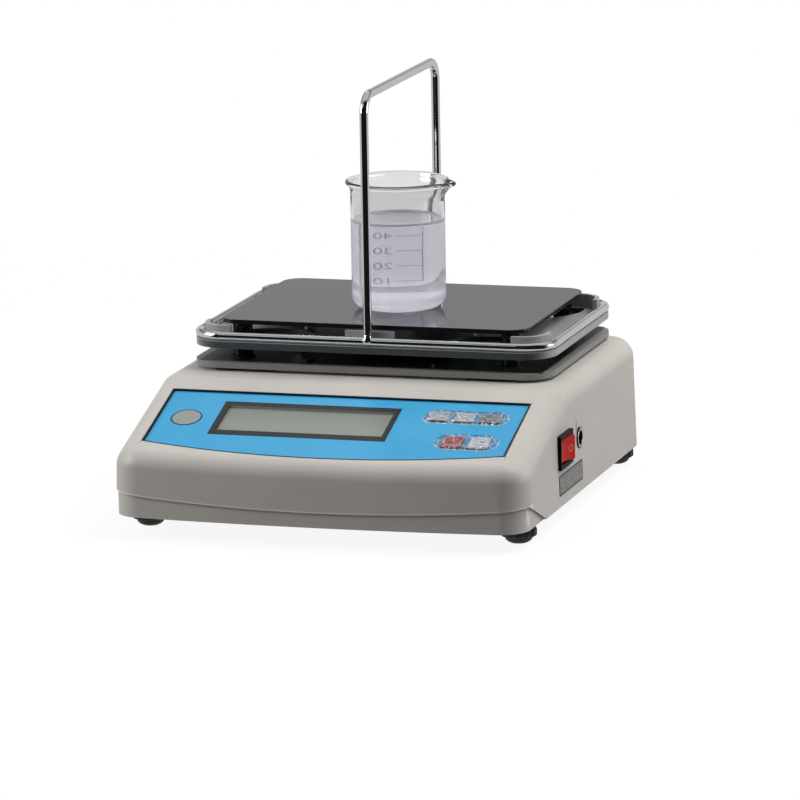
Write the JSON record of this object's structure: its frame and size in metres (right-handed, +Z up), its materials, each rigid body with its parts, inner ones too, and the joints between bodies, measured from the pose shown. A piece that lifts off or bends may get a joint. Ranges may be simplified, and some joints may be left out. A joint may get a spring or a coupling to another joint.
{
  "type": "benchtop density meter",
  "caption": "Benchtop density meter with a sloped keypad and display, a weighing tray with a lift-off wire bail, and a table that holds a beaker.",
  "frame": {"origin": "on the bench under the middle of the housing", "axes": "+X to the right of someone facing the keypad, +Y to the back, +Z up"},
  "size_m": [0.1933, 0.2118, 0.188],
  "materials": {
    "housing_plastic": "fine spark-eroded texture",
    "panel_film": "printed polyester film",
    "inlay_plastic": "satin",
    "bezel_plastic": "satin",
    "display_glass": "polished window over a reflective display",
    "clear_film": "clear, glossy",
    "key_white": "satin",
    "key_slate": "satin",
    "key_red": "satin",
    "circuit_board": "solder mask",
    "black_plastic": "moulded",
    "ribbon_grey": "flexible",
    "screw_steel": "zinc plated",
    "black_steel": "black oxide",
    "alloy": "milled",
    "tray_plastic": "satin",
    "deck_plastic": "satin",
    "chrome": "mirror plated",
    "black_acrylic": "polished sheet",
    "rubber": "moulded",
    "glass": "clear borosilicate",
    "rocker_red": "polished"
  },
  "bodies": {
    "base": {"lower_housing": "housing_plastic", "upper_housing": "housing_plastic", "control_overlay": "panel_film", "blank_inlay": "inlay_plastic", "display_bezel": "bezel_plastic", "display_panel": "display_glass", "upper_key_cover": "clear_film", "lower_key_cover": "clear_film", "key_board": "circuit_board", "tact_switches": "black_plastic", "main_board": "circuit_board", "board_parts": "black_plastic", "ribbon_cable": "ribbon_grey", "housing_screws": "screw_steel", "board_screws": "screw_steel", "load_cell": "alloy", "cell_mount": "alloy", "cell_screws": "black_steel", "lower_tray": "deck_plastic", "deck_screws": "screw_steel", "switch_body": "black_plastic", "dc_socket": "black_plastic", "dc_pin": "screw_steel"},
    "pan": {"pan_carrier": "alloy", "upper_tray": "tray_plastic", "tray_screws": "screw_steel"},
    "wire_frame": {"wire_ring": "chrome", "wire_bail": "chrome"},
    "table": {"table_plate": "black_acrylic", "table_legs": "black_acrylic", "table_pads": "rubber"},
    "beaker": {"beaker": "glass"},
    "rocker": {"rocker": "rocker_red"},
    "key_left": {"key_left": "key_white"},
    "key_middle": {"key_middle": "key_white"},
    "key_right": {"key_right": "key_slate"},
    "key_red": {"key_red": "key_red"},
    "key_grey": {"key_grey": "key_white"},
    "stud_front_left": {"stud_front_left": "screw_steel"},
    "wheel_front_left": {"wheel_front_left": "black_plastic"},
    "stud_front_right": {"stud_front_right": "screw_steel"},
    "wheel_front_right": {"wheel_front_right": "black_plastic"},
    "stud_rear_left": {"stud_rear_left": "screw_steel"},
    "wheel_rear_left": {"wheel_rear_left": "black_plastic"},
    "stud_rear_right": {"stud_rear_right": "screw_steel"},
    "wheel_rear_right": {"wheel_rear_right": "black_plastic"}
  },
  "joints": [
    {"name": "pan_load", "type": "slide", "parent": "base", "child": "pan", "axis": [0, 0, 1], "range_m": [-0.0004, 0], "stiffness_N_per_m": 20000, "springref_m": 0.00025, "deforming": ["load_cell"]},
    {"name": "frame_lift", "type": "slide", "parent": "pan", "child": "wire_frame", "axis": [0, 0, 1], "range_m": [0, 0.06]},
    {"name": "table_lift", "type": "slide", "parent": "base", "child": "table", "axis": [0, 0, 1], "range_m": [0, 0.012]},
    {"name": "beaker_lift", "type": "slide", "parent": "table", "child": "beaker", "axis": [0, 0, 1], "range_m": [0, 0.028]},
    {"name": "key_left_press", "type": "slide", "parent": "base", "child": "key_left", "axis": [0, 0.3024, -0.9532], "range_m": [0, 0.0005], "stiffness_N_per_m": 600, "springref_m": -0.0002},
    {"name": "key_middle_press", "type": "slide", "parent": "base", "child": "key_middle", "axis": [0, 0.3024, -0.9532], "range_m": [0, 0.0005], "stiffness_N_per_m": 600, "springref_m": -0.0002},
    {"name": "key_right_press", "type": "slide", "parent": "base", "child": "key_right", "axis": [0, 0.3024, -0.9532], "range_m": [0, 0.0005], "stiffness_N_per_m": 600, "springref_m": -0.0002},
    {"name": "key_red_press", "type": "slide", "parent": "base", "child": "key_red", "axis": [0, 0.3024, -0.9532], "range_m": [0, 0.0005], "stiffness_N_per_m": 600, "springref_m": -0.0002},
    {"name": "key_grey_press", "type": "slide", "parent": "base", "child": "key_grey", "axis": [0, 0.3024, -0.9532], "range_m": [0, 0.0005], "stiffness_N_per_m": 600, "springref_m": -0.0002},
    {"name": "rocker_tilt", "type": "hinge", "parent": "base", "child": "rocker", "pos_m": [0.0923, -0.0332, 0.0334], "axis": [0, 0, 1], "range_deg": [0, 20]},
    {"name": "stud_front_left_travel", "type": "slide", "parent": "base", "child": "stud_front_left", "axis": [0, 0, -1], "range_m": [0, 0.005]},
    {"name": "wheel_front_left_turn", "type": "hinge", "parent": "stud_front_left", "child": "wheel_front_left", "pos_m": [-0.085, -0.0745, 0.003], "axis": [0, 0, 1], "range_deg": [0, 1800]},
    {"name": "stud_front_right_travel", "type": "slide", "parent": "base", "child": "stud_front_right", "axis": [0, 0, -1], "range_m": [0, 0.005]},
    {"name": "wheel_front_right_turn", "type": "hinge", "parent": "stud_front_right", "child": "wheel_front_right", "pos_m": [0.085, -0.0745, 0.003], "axis": [0, 0, 1], "range_deg": [0, 1800]},
    {"name": "stud_rear_left_travel", "type": "slide", "parent": "base", "child": "stud_rear_left", "axis": [0, 0, -1], "range_m": [0, 0.005]},
    {"name": "wheel_rear_left_turn", "type": "hinge", "parent": "stud_rear_left", "child": "wheel_rear_left", "pos_m": [-0.085, 0.095, 0.003], "axis": [0, 0, 1], "range_deg": [0, 1800]},
    {"name": "stud_rear_right_travel", "type": "slide", "parent": "base", "child": "stud_rear_right", "axis": [0, 0, -1], "range_m": [0, 0.005]},
    {"name": "wheel_rear_right_turn", "type": "hinge", "parent": "stud_rear_right", "child": "wheel_rear_right", "pos_m": [0.085, 0.095, 0.003], "axis": [0, 0, 1], "range_deg": [0, 1800]}
  ],
  "couplings": [
    {"joint": "wheel_front_left_turn", "follows": "stud_front_left_travel", "rad_per_m": 6283.2},
    {"joint": "wheel_front_right_turn", "follows": "stud_front_right_travel", "rad_per_m": 6283.2},
    {"joint": "wheel_rear_left_turn", "follows": "stud_rear_left_travel", "rad_per_m": 6283.2},
    {"joint": "wheel_rear_right_turn", "follows": "stud_rear_right_travel", "rad_per_m": 6283.2}
  ]
}
